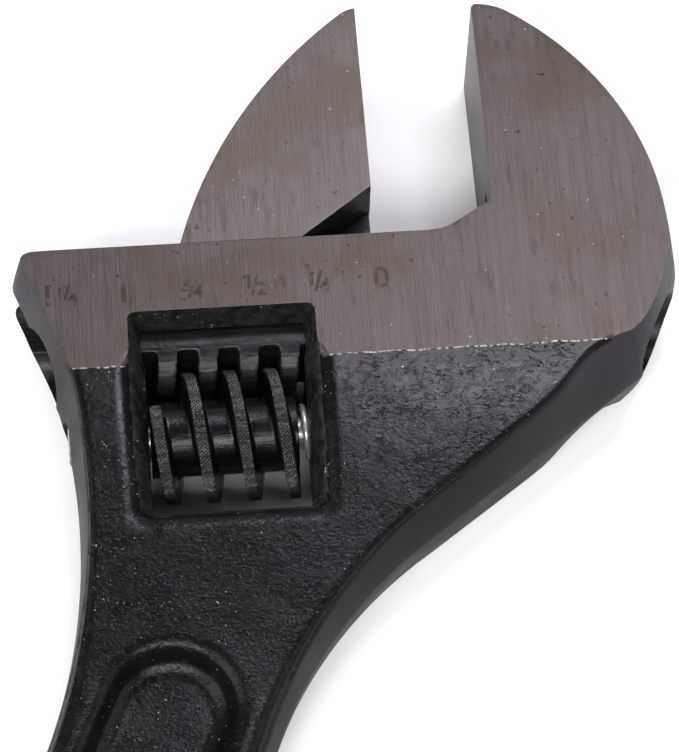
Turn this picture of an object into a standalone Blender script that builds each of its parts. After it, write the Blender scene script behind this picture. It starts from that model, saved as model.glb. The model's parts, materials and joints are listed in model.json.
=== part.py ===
"""Adjustable wrench, 10 inch size: a forged body, a sliding jaw, its worm, the worm's pin and spring.

Units are metres. The wrench lies flat: +Z is its thickness and +Y runs up the handle to the head.
The head's own directions are u, along the slide towards the fixed jaw, and v, out along the jaws.
They are turned from X and Y by the head angle, and (0, 0) is where the rail meets the fixed jaw.
"""
import math

import bmesh
import bpy
from mathutils import Matrix, Vector

# Overall
LENGTH = 0.254
HEAD_ANGLE = math.radians(22.5)
HEAD_THICKNESS = 0.0152
HANDLE_THICKNESS = 0.0110       # as the last of SLOPE_PROFILE leaves it
MID = HEAD_THICKNESS / 2
FORGING_DRAFT = 0.0014          # how far a forged side leans in from the parting line to the face
GAP = 0.0002                    # running gap between pieces that slide on each other
OVERLAP = 0.0005                # how far a joined shape runs into the one it joins
OVER = 0.01                     # how far a cutter stands clear of the faces it cuts through

# Head, in u and v
JAW_HEIGHT = 0.0274             # rail to jaw tips
LEFT_END = 0.0501
ROOT_FACET = (0.0042, 0.00065, 0.0034)   # inner corner: run along the rail, rise there, rise at the face
ROOT_BLEND = 0.0070
ROOT_MID_RISE = 0.00015         # rise half way between the blend's end and the facet
BACK_CENTRE = (-0.0160, -0.0008)
BACK_RADIUS = 0.0348
BACK_FOOT = math.radians(-2)
HEEL_CENTRE = (-0.0129, 0.0039)
HEEL_RADIUS = 0.0324
HEEL_SPAN = (math.radians(-12), math.radians(-34))
SLOPE_START = 0.0138            # below the rail, where the ground face gives way to the forged face
SLOPE_PROFILE = ((0.0240, 0.0004), (0.0400, 0.0017), (0.0500, 0.0021))  # distance below the rail, drop

# Neck and handle, in X and Y from the rail corner
HANDLE_X = -0.01375
NECK_HALF_WIDTH = 0.0103
LEFT_NECK_Y = -0.0687
LEFT_NECK_RADIUS = 0.066
LEFT_NECK_SWEEP = math.radians(35)
RIGHT_NECK_Y = -0.0574
RIGHT_NECK_RADIUS = 0.0486
RIGHT_NECK_SWEEP = math.radians(32.7)
END_RADIUS = 0.0138
HANG_HOLE_RADIUS = 0.006
PANEL_DEPTH = 0.0024
PANEL_TOP_Y = -0.0595
PANEL_TOP_RADIUS = 0.0058
PANEL_END_Y = -0.1870
PANEL_END_RADIUS = 0.0088

# Slide: rail slot, rack bore and the jaw's rack
SLOT_WIDTH = 0.0051
BORE_V = -0.0095
BORE_RADIUS = 0.0044
RACK_RADIUS = BORE_RADIUS - GAP
RACK_LEFT = -0.0433
RACK_RIGHT = -0.0090
GROOVE_ROOT_V = -0.0104
PITCH = 0.0041
GROOVE_WIDTH = 0.00215

# Worm, window, pin and spring
WORM_V = -0.0183
WORM_LEFT = -0.0360
WORM_RIGHT = -0.0213
WORM_RADIUS = 0.0066
WORM_ROOT_RADIUS = 0.0038
RIDGE_TIP_WIDTH = 0.00115
RIDGE_BASE_WIDTH = 0.0017
RIDGE_U = -0.0323               # a ridge's middle on the side that faces the rack
POCKET = (-0.0362, -0.0202, -0.0285, -0.0079)     # low u, high u, low v, high v
WINDOW = (-0.0378, -0.0180, -0.0304, -0.0077)
WINDOW_DEPTH = 0.0040
PIN_RADIUS = 0.0017
PIN_HEAD_RADIUS = 0.0022
PIN_LEFT = -0.0442
PIN_HEAD_END = -0.0385
PIN_RIGHT = -0.0150
PIN_SLOT = (0.0008, 0.0009)     # width and depth of the driver slot
SPRING_RADIUS = 0.0026
SPRING_WIRE = 0.0003
SPRING_TURNS = 3.5
SPRING_SEAT_RADIUS = 0.0032
SPRING_SEAT_END = -0.0174

# Movable jaw, in u and v at rest
REST_OPENING = 0.0122
JAW_THICKNESS = 0.0149
JAW_BACK_CENTRE = (0.0193, -0.01475)
JAW_BACK_RADIUS = 0.0534
JAW_RELIEF = (0.0073, 0.0057)   # run along the rail and rise up the gripping face
JAW_TIP = 0.0010
WEB_STEP = 0.0002               # the web stands this far inside the jaw's outline
WEB_TOP = 0.0065
SLOT_RUN_OUT = 0.0004           # how far the rail slot runs into the fixed jaw's gripping face
SLOT_TOP = 0.0072               # and how far up it, to clear the sliding jaw's web

FAR = 0.1                       # well outside the wrench, for cutters

# Sides of the polygons that stand for round holes and rods
HOLE_SIDES = 24
RACK_SIDES = 32
WORM_SIDES = 48


def clear_scene():
    for obj in list(bpy.data.objects):
        bpy.data.objects.remove(obj, do_unlink=True)


def new_collection(name):
    collection = bpy.data.collections.new(name)
    bpy.context.scene.collection.children.link(collection)
    return collection


def material(name, colour, roughness, metallic):
    mat = bpy.data.materials.new(name)
    mat.use_nodes = True
    shader = mat.node_tree.nodes["Principled BSDF"]
    shader.inputs["Base Color"].default_value = (*colour, 1.0)
    shader.inputs["Roughness"].default_value = roughness
    shader.inputs["Metallic"].default_value = metallic
    return mat


def to_handle(u, v):
    """A point of the head in X and Y, measured from the rail corner."""
    c, s = math.cos(HEAD_ANGLE), math.sin(HEAD_ANGLE)
    return (u * c - v * s, u * s + v * c)


def to_head(x, y):
    c, s = math.cos(HEAD_ANGLE), math.sin(HEAD_ANGLE)
    return (x * c + y * s, y * c - x * s)


def arc(centre, radius, start, end, steps):
    """Points on an arc, from the start angle to the end angle, both included."""
    angles = [start + (end - start) * i / steps for i in range(steps + 1)]
    return [(centre[0] + radius * math.cos(a), centre[1] + radius * math.sin(a)) for a in angles]


def back_angle(height):
    """Angle on the fixed jaw's back arc at a height above the rail."""
    return math.asin((height - BACK_CENTRE[1]) / BACK_RADIUS)


def handle_top_y():
    """How far the fixed jaw's tip stands above the rail corner, along Y."""
    tip_angle = back_angle(JAW_HEIGHT)
    tip_u = BACK_CENTRE[0] + BACK_RADIUS * math.cos(tip_angle)
    return to_handle(tip_u, JAW_HEIGHT)[1]


def blank_outline():
    """The forging's parting line in u and v, clockwise, with stock left above the rail and the tips."""
    stock = 0.003
    left = [(-LEFT_END, stock), (-LEFT_END, 0.0)]
    throat = [(-stock, stock), (-stock, JAW_HEIGHT + stock)]
    back = arc(BACK_CENTRE, BACK_RADIUS, back_angle(JAW_HEIGHT + stock), BACK_FOOT, 20)
    heel = arc(HEEL_CENTRE, HEEL_RADIUS, *HEEL_SPAN, 7)
    right_neck_centre = (HANDLE_X + NECK_HALF_WIDTH + RIGHT_NECK_RADIUS, RIGHT_NECK_Y)
    right_neck = arc(right_neck_centre, RIGHT_NECK_RADIUS, math.pi - RIGHT_NECK_SWEEP, math.pi, 10)
    end_centre = (HANDLE_X, handle_top_y() - LENGTH + END_RADIUS)
    end = arc(end_centre, END_RADIUS, 0.0, -math.pi, 20)
    left_neck_centre = (HANDLE_X - NECK_HALF_WIDTH - LEFT_NECK_RADIUS, LEFT_NECK_Y)
    left_neck = arc(left_neck_centre, LEFT_NECK_RADIUS, 0.0, LEFT_NECK_SWEEP, 12)
    handle = [to_head(*p) for p in right_neck + end + left_neck]
    return left[::-1][1:] + throat + back + heel + handle + left[::-1][:1]


def inset(outline, distance):
    """A clockwise outline with every side moved in by a distance."""
    sharpest = 0.3              # keeps a very sharp corner from running far inside
    count = len(outline)
    result = []
    for i in range(count):
        before = Vector(outline[i - 1])
        here = Vector(outline[i])
        after = Vector(outline[(i + 1) % count])
        first = (here - before).normalized()
        second = (after - here).normalized()
        normal = Vector((first.y + second.y, -first.x - second.x)).normalized()
        mitre = max(normal.dot(Vector((first.y, -first.x))), sharpest)
        result.append(tuple(here + normal * (distance / mitre)))
    return result


def mesh_object(name, bm, collection, parent):
    bmesh.ops.recalc_face_normals(bm, faces=bm.faces)
    mesh = bpy.data.meshes.new(name)
    bm.to_mesh(mesh)
    bm.free()
    obj = bpy.data.objects.new(name, mesh)
    collection.objects.link(obj)
    obj.parent = parent
    return obj


def drafted_slab(name, outline, thickness, draft, collection, parent):
    """A forging with its parting line at mid thickness, its sides leaning in to both faces."""
    bm = bmesh.new()
    face_line = inset(outline, draft)
    levels = [(face_line, 0.0), (outline, thickness / 2), (face_line, thickness)]
    rings = [[bm.verts.new((u, v, z)) for u, v in line] for line, z in levels]
    bm.faces.new(rings[0])
    bm.faces.new(rings[-1])
    for low, high in zip(rings, rings[1:]):
        for i in range(len(low)):
            bm.faces.new((low[i - 1], low[i], high[i], high[i - 1]))
    return mesh_object(name, bm, collection, parent)


def flat_shape(name, outline, low, high, collection, parent):
    """A flat outline in u and v, extruded from one height to another."""
    curve = bpy.data.curves.new(name, "CURVE")
    curve.dimensions = "2D"
    curve.fill_mode = "BOTH"
    curve.extrude = (high - low) / 2
    spline = curve.splines.new("POLY")
    spline.points.add(len(outline) - 1)
    for point, (u, v) in zip(spline.points, outline):
        point.co = (u, v, 0.0, 1.0)
    spline.use_cyclic_u = True
    guide = bpy.data.objects.new(name + "_curve", curve)
    bpy.context.scene.collection.objects.link(guide)
    mesh = bpy.data.meshes.new_from_object(guide.evaluated_get(bpy.context.evaluated_depsgraph_get()))
    bpy.data.objects.remove(guide, do_unlink=True)
    bm = bmesh.new()
    bm.from_mesh(mesh)
    bpy.data.meshes.remove(mesh)
    bmesh.ops.remove_doubles(bm, verts=bm.verts, dist=1e-6)
    bmesh.ops.translate(bm, verts=bm.verts, vec=(0.0, 0.0, (low + high) / 2))
    return mesh_object(name, bm, collection, parent)


def box(name, low, high, collection, parent):
    bm = bmesh.new()
    bmesh.ops.create_cube(bm, size=1.0)
    size = [b - a for a, b in zip(low, high)]
    centre = [(a + b) / 2 for a, b in zip(low, high)]
    bmesh.ops.scale(bm, verts=bm.verts, vec=size)
    bmesh.ops.translate(bm, verts=bm.verts, vec=centre)
    return mesh_object(name, bm, collection, parent)


def rod_along_u(name, v, radius, left, right, segments, collection, parent):
    """A cylinder along the slide at mid thickness."""
    bm = bmesh.new()
    bmesh.ops.create_cone(bm, cap_ends=True, segments=segments, radius1=radius, radius2=radius,
                          depth=right - left)
    turn = Matrix.Rotation(math.radians(90), 3, "Y")
    bmesh.ops.rotate(bm, verts=bm.verts, cent=(0, 0, 0), matrix=turn)
    bmesh.ops.translate(bm, verts=bm.verts, vec=((left + right) / 2, v, MID))
    return mesh_object(name, bm, collection, parent)


def join_or_cut(target, tool, operation):
    modifier = target.modifiers.new(tool.name, "BOOLEAN")
    modifier.operation = operation
    modifier.object = tool
    modifier.solver = "EXACT"


def hide_cutters(collection):
    for obj in collection.objects:
        obj.hide_render = True
        obj.display_type = "WIRE"


def window_cutter(near, cutters, head):
    """The window's flare on one face: wide at the face, narrowing to the pocket inside."""
    face_z = HEAD_THICKNESS if near else 0.0
    inward = -1.0 if near else 1.0
    stand_off = 0.001
    rings = []
    bm = bmesh.new()
    for share in (-stand_off / WINDOW_DEPTH, 1.0):
        bounds = [w + (p - w) * share for w, p in zip(WINDOW, POCKET)]
        z = face_z + inward * WINDOW_DEPTH * share
        u0, u1, v0, v1 = bounds
        rings.append([bm.verts.new((u, v, z)) for u, v in ((u0, v0), (u1, v0), (u1, v1), (u0, v1))])
    bm.faces.new(rings[0])
    bm.faces.new(rings[1])
    for i in range(4):
        bm.faces.new((rings[0][i - 1], rings[0][i], rings[1][i], rings[1][i - 1]))
    return mesh_object("window_flare_" + ("near" if near else "far"), bm, cutters, head)


def slope_cutter(near, cutters, head):
    """Takes the forged face down from the ground face to the handle's thickness."""
    first_run, first_drop = SLOPE_PROFILE[0]
    slope = first_drop / (first_run - SLOPE_START)
    profile = [(-SLOPE_START + OVER, -OVER * slope)] + [(-run, drop) for run, drop in SLOPE_PROFILE]
    profile += [(-3 * FAR, profile[-1][1]), (-3 * FAR, -OVER), (-SLOPE_START + OVER, -OVER)]
    bm = bmesh.new()
    ends = []
    for u in (-2 * FAR, FAR):
        ends.append([bm.verts.new((u, v, HEAD_THICKNESS - d if near else d)) for v, d in profile])
    bm.faces.new(ends[0])
    bm.faces.new(ends[1])
    for i in range(len(profile)):
        bm.faces.new((ends[0][i - 1], ends[0][i], ends[1][i], ends[1][i - 1]))
    return mesh_object("face_slope_" + ("near" if near else "far"), bm, cutters, head)


def panel_outline():
    """The handle's sunk panel: two round ends joined by straight sides, in u and v."""
    rise = math.asin((PANEL_END_RADIUS - PANEL_TOP_RADIUS) / (PANEL_TOP_Y - PANEL_END_Y))
    top = arc((HANDLE_X, PANEL_TOP_Y), PANEL_TOP_RADIUS, rise, math.pi - rise, 12)
    end = arc((HANDLE_X, PANEL_END_Y), PANEL_END_RADIUS, math.pi - rise, 2 * math.pi + rise, 14)
    return [to_head(x, y) for x, y in top + end]


def throat_outline():
    """Everything above the rail, in front of the gripping face and beyond the tip."""
    run, low_rise, high_rise = ROOT_FACET
    return [(-FAR, 0.0), (-ROOT_BLEND, 0.0), (-(ROOT_BLEND + run) / 2, ROOT_MID_RISE), (-run, low_rise),
            (0.0, high_rise), (0.0, JAW_HEIGHT), (FAR, JAW_HEIGHT), (FAR, FAR), (-FAR, FAR)]


def make_body(parts, cutters, head):
    body = drafted_slab("body", blank_outline(), HEAD_THICKNESS, FORGING_DRAFT, parts, head)
    panel = panel_outline()
    panel_z = (HEAD_THICKNESS - HANDLE_THICKNESS) / 2 + PANEL_DEPTH
    hole_x, hole_y = to_head(HANDLE_X, handle_top_y() - LENGTH + END_RADIUS)
    hang_hole = arc((hole_x, hole_y), HANG_HOLE_RADIUS, 0.0, 2 * math.pi, HOLE_SIDES)[1:]
    half_slot = SLOT_WIDTH / 2
    tools = [
        slope_cutter(True, cutters, head),
        slope_cutter(False, cutters, head),
        flat_shape("throat", throat_outline(), -OVER, HEAD_THICKNESS + OVER, cutters, head),
        flat_shape("panel_near", panel, HEAD_THICKNESS - panel_z, HEAD_THICKNESS + OVER, cutters, head),
        flat_shape("panel_far", panel, -OVER, panel_z, cutters, head),
        flat_shape("hang_hole", hang_hole, -OVER, HEAD_THICKNESS + OVER, cutters, head),
        box("rail_slot", (-FAR, BORE_V, MID - half_slot), (SLOT_RUN_OUT, SLOT_TOP, MID + half_slot),
            cutters, head),
        rod_along_u("rack_bore", BORE_V, BORE_RADIUS, -FAR, FAR, RACK_SIDES, cutters, head),
        box("worm_pocket", (POCKET[0], POCKET[2], -OVER), (POCKET[1], POCKET[3], HEAD_THICKNESS + OVER),
            cutters, head),
        window_cutter(True, cutters, head),
        window_cutter(False, cutters, head),
        rod_along_u("pin_hole", WORM_V, PIN_RADIUS + GAP, PIN_HEAD_END, PIN_RIGHT + GAP, HOLE_SIDES,
                    cutters, head),
        rod_along_u("pin_head_hole", WORM_V, PIN_HEAD_RADIUS + GAP, -FAR, PIN_HEAD_END + GAP, HOLE_SIDES,
                    cutters, head),
        rod_along_u("spring_seat", WORM_V, SPRING_SEAT_RADIUS, POCKET[1] - PITCH / 2, SPRING_SEAT_END,
                    HOLE_SIDES, cutters, head),
    ]
    for tool in tools:
        join_or_cut(body, tool, "DIFFERENCE")
    body.data.materials.append(material("forged_steel", (0.045, 0.043, 0.045), 0.42, 0.85))
    return body


def jaw_back(low, high, radius, steps):
    """The movable jaw's curved back, from one height above the rail up to another."""
    first, last = [math.pi - math.asin((v - JAW_BACK_CENTRE[1]) / radius) for v in (low, high)]
    return arc(JAW_BACK_CENTRE, radius, first, last, steps)


def jaw_outline():
    """The movable jaw's cheeks, clockwise from the gripping face's lower end."""
    run, rise = JAW_RELIEF
    face = -REST_OPENING
    tip = [(face, JAW_HEIGHT - JAW_TIP / 2)]
    return [(face, rise), (face - run, GAP)] + jaw_back(GAP, JAW_HEIGHT, JAW_BACK_RADIUS, 16) + tip


def web_outline():
    """The plate that runs in the rail's slot and joins the cheeks to the rack, clockwise."""
    face = -REST_OPENING - WEB_STEP
    back = jaw_back(GAP, WEB_TOP, JAW_BACK_RADIUS - WEB_STEP, 3)
    return [(face, BORE_V), (back[0][0], BORE_V)] + back + [(face, WEB_TOP)]


def make_jaw(parts, cutters, head, slide):
    low = MID - JAW_THICKNESS / 2
    jaw = flat_shape("movable_jaw", jaw_outline(), low, low + JAW_THICKNESS, parts, head)
    half_web = SLOT_WIDTH / 2 - GAP
    web = flat_shape("jaw_web", web_outline(), MID - half_web, MID + half_web, cutters, head)
    rack = rod_along_u("jaw_rack", BORE_V, RACK_RADIUS, RACK_LEFT, RACK_RIGHT, RACK_SIDES, cutters, head)
    join_or_cut(jaw, web, "UNION")
    join_or_cut(jaw, rack, "UNION")
    lead = math.atan(PITCH / (2 * math.pi * (WORM_RADIUS + WORM_ROOT_RADIUS) / 2))
    first = math.ceil((RACK_LEFT - RIDGE_U + GROOVE_WIDTH) / PITCH)
    last = math.floor((RACK_RIGHT - RIDGE_U - GROOVE_WIDTH) / PITCH)
    for i in range(first, last + 1):
        centre = RIDGE_U + i * PITCH
        groove = box("rack_groove_%d" % (i - first + 1), (-GROOVE_WIDTH / 2, GROOVE_ROOT_V - OVER, -OVER),
                     (GROOVE_WIDTH / 2, GROOVE_ROOT_V, OVER), cutters, head)
        groove.location = (centre, 0.0, MID)
        groove.rotation_euler = (0.0, lead, 0.0)
        join_or_cut(jaw, groove, "DIFFERENCE")
    put_on_axis(jaw, slide)
    jaw.data.materials.append(material("ground_steel", (0.36, 0.33, 0.31), 0.38, 0.9))
    return jaw


def put_on_axis(obj, axis_empty):
    """Parents an object drawn in head coordinates to an empty that lies on its joint's axis."""
    obj.parent = axis_empty
    obj.location = -axis_empty.location


def helical_ridge(cutters, head):
    """The worm's thread: one section swept along a right-hand helix from end to end of the worm."""
    steps_per_turn = 24
    margin = RIDGE_BASE_WIDTH / 2 + GAP / 2
    first = WORM_LEFT + margin
    travel = WORM_RIGHT - margin - first
    steps = int(steps_per_turn * travel / PITCH)
    foot = WORM_ROOT_RADIUS - OVERLAP
    section = [(-RIDGE_BASE_WIDTH / 2, foot), (-RIDGE_TIP_WIDTH / 2, WORM_RADIUS),
               (RIDGE_TIP_WIDTH / 2, WORM_RADIUS), (RIDGE_BASE_WIDTH / 2, foot)]
    bm = bmesh.new()
    rings = []
    for i in range(steps + 1):
        centre = first + travel * i / steps
        angle = 2 * math.pi * (centre - RIDGE_U) / PITCH
        rings.append([bm.verts.new((centre + u, WORM_V + r * math.cos(angle), MID + r * math.sin(angle)))
                      for u, r in section])
    for one, two in zip(rings, rings[1:]):
        for i in range(4):
            bm.faces.new((one[i - 1], one[i], two[i], two[i - 1]))
    bm.faces.new(rings[0])
    bm.faces.new(rings[-1])
    bmesh.ops.triangulate(bm, faces=bm.faces)
    return mesh_object("worm_ridge", bm, cutters, head)


def make_worm(parts, cutters, head, axle):
    worm = rod_along_u("worm", WORM_V, WORM_ROOT_RADIUS, WORM_LEFT, WORM_RIGHT, WORM_SIDES, parts, head)
    ridge = helical_ridge(cutters, head)
    bore = rod_along_u("worm_bore", WORM_V, PIN_RADIUS + GAP, -FAR, FAR, HOLE_SIDES, cutters, head)
    join_or_cut(worm, ridge, "UNION")
    join_or_cut(worm, bore, "DIFFERENCE")
    put_on_axis(worm, axle)
    worm.data.materials.append(material("worm_steel", (0.07, 0.068, 0.072), 0.35, 0.85))
    return worm


def make_pin(parts, cutters, head):
    pin = rod_along_u("worm_pin", WORM_V, PIN_RADIUS, PIN_HEAD_END - OVERLAP, PIN_RIGHT, HOLE_SIDES,
                      parts, head)
    thread = rod_along_u("pin_head", WORM_V, PIN_HEAD_RADIUS, PIN_LEFT, PIN_HEAD_END, HOLE_SIDES,
                         cutters, head)
    width, depth = PIN_SLOT
    slot = box("pin_slot", (PIN_LEFT - OVER, WORM_V - OVER, MID - width / 2),
               (PIN_LEFT + depth, WORM_V + OVER, MID + width / 2), cutters, head)
    join_or_cut(pin, thread, "UNION")
    join_or_cut(pin, slot, "DIFFERENCE")
    pin.data.materials.append(material("pin_steel", (0.55, 0.54, 0.52), 0.25, 1.0))
    return pin


def make_spring(parts, head):
    per_turn = 12
    count = int(SPRING_TURNS * per_turn)
    left = WORM_RIGHT + GAP + SPRING_WIRE
    right = SPRING_SEAT_END - GAP - SPRING_WIRE
    curve = bpy.data.curves.new("worm_spring", "CURVE")
    curve.dimensions = "3D"
    curve.bevel_depth = SPRING_WIRE
    curve.bevel_resolution = 2
    curve.use_fill_caps = True
    spline = curve.splines.new("POLY")
    spline.points.add(count)
    for i, point in enumerate(spline.points):
        angle = 2 * math.pi * i / per_turn
        u = left + (right - left) * i / count
        v = WORM_V + SPRING_RADIUS * math.cos(angle)
        point.co = (u, v, MID + SPRING_RADIUS * math.sin(angle), 1.0)
    spring = bpy.data.objects.new("worm_spring", curve)
    parts.objects.link(spring)
    spring.parent = head
    curve.materials.append(material("spring_steel", (0.6, 0.6, 0.62), 0.2, 1.0))
    return spring


def empty_at(name, location, parent):
    empty = bpy.data.objects.new(name, None)
    bpy.context.scene.collection.objects.link(empty)
    empty.location = location
    empty.parent = parent
    return empty


def shade(obj):
    for polygon in obj.data.polygons:
        polygon.use_smooth = True
    obj.data.set_sharp_from_angle(angle=math.radians(30))


def frame_origin():
    """Where the rail corner stands when the wrench's outline is centred on X = Y = 0."""
    outline = [to_handle(u, v) for u, v in blank_outline() if v <= JAW_HEIGHT]
    low_x = min(x for x, y in outline)
    high_x = max(x for x, y in outline)
    return (-(low_x + high_x) / 2, LENGTH / 2 - handle_top_y(), 0.0)


def main():
    clear_scene()
    parts = new_collection("adjustable_wrench")
    cutters = new_collection("cutters")
    head = empty_at("head_frame", frame_origin(), None)
    head.rotation_euler = (0.0, 0.0, HEAD_ANGLE)
    slide = empty_at("jaw_slide", (-REST_OPENING, BORE_V, MID), head)
    axle = empty_at("worm_axle", (WORM_LEFT, WORM_V, MID), head)
    meshes = [make_body(parts, cutters, head), make_jaw(parts, cutters, head, slide),
              make_worm(parts, cutters, head, axle), make_pin(parts, cutters, head)]
    make_spring(parts, head)
    for obj in meshes:
        shade(obj)
    hide_cutters(cutters)


main()
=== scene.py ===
"""Looks of the 10 inch adjustable wrench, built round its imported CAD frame.

Shapes are written as fields: functions of a point that are positive inside the solid, in
millimetres, in the head's own directions. u runs along the slide to the fixed jaw, v out along
the jaws and z through the thickness; (0, 0) is where the rail meets the fixed jaw's face.
"""
import math

import bmesh
import bpy
import numpy as np
from mathutils import Matrix, Vector
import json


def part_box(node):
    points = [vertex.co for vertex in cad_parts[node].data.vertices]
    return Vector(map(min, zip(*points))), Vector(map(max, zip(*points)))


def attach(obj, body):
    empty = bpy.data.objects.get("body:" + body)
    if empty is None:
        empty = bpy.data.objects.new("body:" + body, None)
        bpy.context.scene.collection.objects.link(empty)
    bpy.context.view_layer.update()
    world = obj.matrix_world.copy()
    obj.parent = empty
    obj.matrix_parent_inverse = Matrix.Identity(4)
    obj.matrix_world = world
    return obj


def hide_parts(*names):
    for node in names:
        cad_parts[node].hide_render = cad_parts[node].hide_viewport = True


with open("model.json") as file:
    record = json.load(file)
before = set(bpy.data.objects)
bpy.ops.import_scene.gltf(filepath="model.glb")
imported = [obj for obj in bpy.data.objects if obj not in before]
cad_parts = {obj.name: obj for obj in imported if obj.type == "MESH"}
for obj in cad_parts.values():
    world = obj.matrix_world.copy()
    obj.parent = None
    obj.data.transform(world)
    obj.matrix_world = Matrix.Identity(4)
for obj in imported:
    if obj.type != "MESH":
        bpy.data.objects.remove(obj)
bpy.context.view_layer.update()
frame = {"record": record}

MM = 0.001
WORM_TRIANGLES = 190000
COARSE_START = -50.0            # down the handle from here the body's faces are longer
COARSE = 3.2                    # times as long, in the end

# ---------------------------------------------------------------- the frame's own places
record = frame["record"]
joints = {joint["name"]: joint for joint in record["behaviour"]["joints"]}
mounts = {mount["name"]: mount for mount in record["mounts"]}
U_AXIS = Vector(joints["jaw_slide"]["axis"]).normalized()
V_AXIS = Vector((-U_AXIS.y, U_AXIS.x, 0.0))
HEAD_ANGLE = math.atan2(U_AXIS.y, U_AXIS.x)
MOUNT_HEIGHT = 15.0             # the fixed jaw face's mount, above the rail
fixed_face = Vector(mounts["fixed_jaw_face"]["pos_m"])
RAIL_CORNER = Vector((fixed_face.x, fixed_face.y, 0.0)) - V_AXIS * MOUNT_HEIGHT * MM
HEAD_MATRIX = Matrix.Translation(RAIL_CORNER) @ Matrix.Rotation(HEAD_ANGLE, 4, "Z")
body_low, body_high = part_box("body")

# ---------------------------------------------------------------- sizes, in millimetres
THICKNESS = (body_high[2] - body_low[2]) / MM
MID = THICKNESS / 2
GROUND_DEPTH = 0.02             # the ground faces lie this far under the scale marks' tops
JAW_HEIGHT = 27.4
HANDLE_HALF_THICKNESS = 5.5
FACE_SLOPE_START = 13.8
FACE_SLOPE_LENGTH = 36.2
STOCK_SLOPE = 0.45              # the pad that was ground away, above the line where it ends
STOCK = 1.0
DRAFT = 1.3
INSET = 0.02                    # keeps the forging just inside the CAD outline
HEAD_EDGE = 0.7
HANDLE_EDGE = 1.9

LEFT_LEAN = 0.4                 # what the left wall and the heel lean in beyond the draft
HEEL_LEAN = 1.9
HEEL_LEAN_PLACE = (10.0, -16.5)
HEEL_LEAN_SPREAD = 3.0
LEAN_POWER = 1.3                # draws the lean towards the faces
RAIL_END_START = -46.0          # from here on the rail's top rounds over into the left end
RAIL_END_ROUND = 2.2
EDGE_ROUND = 1.2                # at the jaw's tip and the panel's floor
PANEL_EDGE_ROUND = 1.3

LEFT_END = 50.1
BACK_CENTRE = (-16.0, -0.8)
BACK_RADIUS = 34.8
HEEL_CENTRE = (-12.9, 3.9)
HEEL_RADIUS = 32.4
HANDLE_X = -13.75
NECK_HALF_WIDTH = 10.3
LEFT_NECK = (-68.7, 66.0)       # Y and radius of the arc that draws the neck in, on the left
RIGHT_NECK = (-57.4, 48.6)
RIGHT_NECK_SWEEP = math.radians(32.7)
END_RADIUS = 13.8
HANDLE_END_Y = (body_low[1] - RAIL_CORNER.y) / MM
HANG_HOLE_RADIUS = 6.0
PANEL_TOP = (-59.5, 6.4)        # Y and outer radius of the sunk panel's two ends
PANEL_END = (-187.0, 9.4)
PANEL_DEPTH = 2.4
PANEL_LEAN = 0.6

SLOT_HALF = 2.55
SLOT_RUN_OUT = 0.4
SLOT_TOP = 7.2
BORE_V = -9.5
BORE_RADIUS = 4.4
RACK_RADIUS = 4.2
RACK_ENDS = (-43.3, -9.0)
PITCH = 4.1
RIDGE_U = -32.3
GROOVE_ROOT_V = -10.4
WORM_V = -18.3
WORM_ENDS = (-36.0, -21.3)
WORM_RADIUS = 6.6
WORM_ROOT = 3.8
PIN_RADIUS = 1.7
PIN_HEAD_RADIUS = 2.2
PIN_ENDS = (-44.2, -15.0)
PIN_HEAD_END = -38.5
PIN_CLEARANCE = 0.15
PIN_END_CLEARANCE = 0.2
SPRING_SEAT = (3.2, -17.4)      # radius and right end
SPRING_SEAT_START = -21.0
POCKET = (-36.2, -20.2, -28.5, -8.1)
WINDOW = (-37.6, -19.0, -30.4, -7.75)
WINDOW_DEPTH = 4.0
REST_OPENING = 12.2
JAW_LEAN = 0.5                  # the jaw's back leans in this far at its cheeks' faces
JAW_TIP = 0.35                  # how far its tip stands above the fixed jaw's
JAW_TIP_ROUND = 0.8
JAW_RELIEF = (7.3, 5.5)         # run and rise of its slanted lower corner
JAW_RELIEF_FOOT = (-19.5, 0.2)
JAW_FOOT = 0.1                  # its clearance over the rail
CHEEK_INSET = 0.15              # its cheeks lie this far under the head's faces
WEB_LEFT = -31.2
WEB_TOP = 6.7
WEB_INSET = (0.3, 0.1)          # inside the jaw's back and inside its gripping face
WEB_CLEARANCE = 0.2
RACK_END_ROUND = 0.9
GROOVE_HALF = 1.02
GROOVE_TAPER = 0.035
GROOVE_SPAN = (-10.3, 22.5)     # where grooves are cut, from RIDGE_U
GROOVE_ROUND = (0.5, 0.25)      # at a groove's root and at its mouth
LEAD_RADIUS = 5.2               # where the grooves' slant matches the worm's
JAW_BACK_CENTRE = (19.3, -14.75)
JAW_BACK_RADIUS = 53.8


# ---------------------------------------------------------------- field helpers
def soft_min(a, b, width):
    """The smaller of two fields, with the corner between them rounded over a width."""
    near = np.clip(width - np.abs(a - b), 0.0, None) / width
    return np.minimum(a, b) - near * near * width / 4


def soft_max(a, b, width):
    return -soft_min(-a, -b, width)


def smooth(x):
    """0 to 1 with flat ends."""
    x = np.clip(x, 0.0, 1.0)
    return x * x * (3 - 2 * x)


def lattice(seed, shape):
    return np.random.default_rng(seed).random(shape).astype(np.float32) * 2 - 1


def noise_2d(u, v, cell, seed):
    """Smooth value noise from -1 to 1 in the plane."""
    size = 128
    table = lattice(seed, (size, size))
    a, b = u / cell, v / cell
    i, j = np.floor(a).astype(int), np.floor(b).astype(int)
    s, t = smooth(a - i), smooth(b - j)
    i0, i1, j0, j1 = i % size, (i + 1) % size, j % size, (j + 1) % size
    low = table[i0, j0] * (1 - s) + table[i1, j0] * s
    high = table[i0, j1] * (1 - s) + table[i1, j1] * s
    return low * (1 - t) + high * t


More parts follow.
